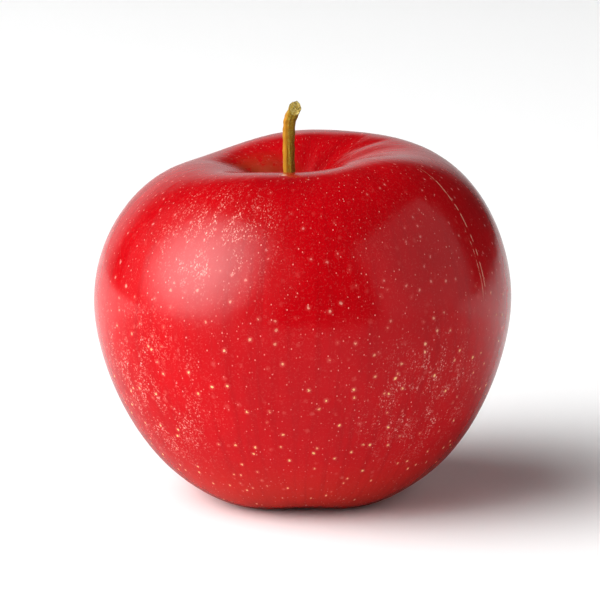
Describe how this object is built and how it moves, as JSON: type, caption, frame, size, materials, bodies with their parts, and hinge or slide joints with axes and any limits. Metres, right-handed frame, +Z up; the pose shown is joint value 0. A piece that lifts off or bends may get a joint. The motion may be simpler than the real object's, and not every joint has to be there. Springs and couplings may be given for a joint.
{
  "type": "apple",
  "caption": "Whole red apple with its short cut stalk, a funnel-shaped stem cavity and a lobed base that it stands on.",
  "frame": {"origin": "on the surface the apple rests on, under the middle of its box", "axes": "+Z up from the base to the stalk, +X to the right of the apple's best side, +Y away from that side"},
  "size_m": [0.08, 0.08, 0.0767],
  "materials": {
    "skin": "satin",
    "stalk": "matte",
    "dried_sepal": "matte",
    "dried_stamens": "matte"
  },
  "bodies": {
    "root": {"fruit": "skin", "stem": "stalk", "sepal_1": "dried_sepal", "sepal_2": "dried_sepal", "sepal_3": "dried_sepal", "sepal_4": "dried_sepal", "sepal_5": "dried_sepal", "stamen_tuft": "dried_stamens"}
  },
  "joints": []
}
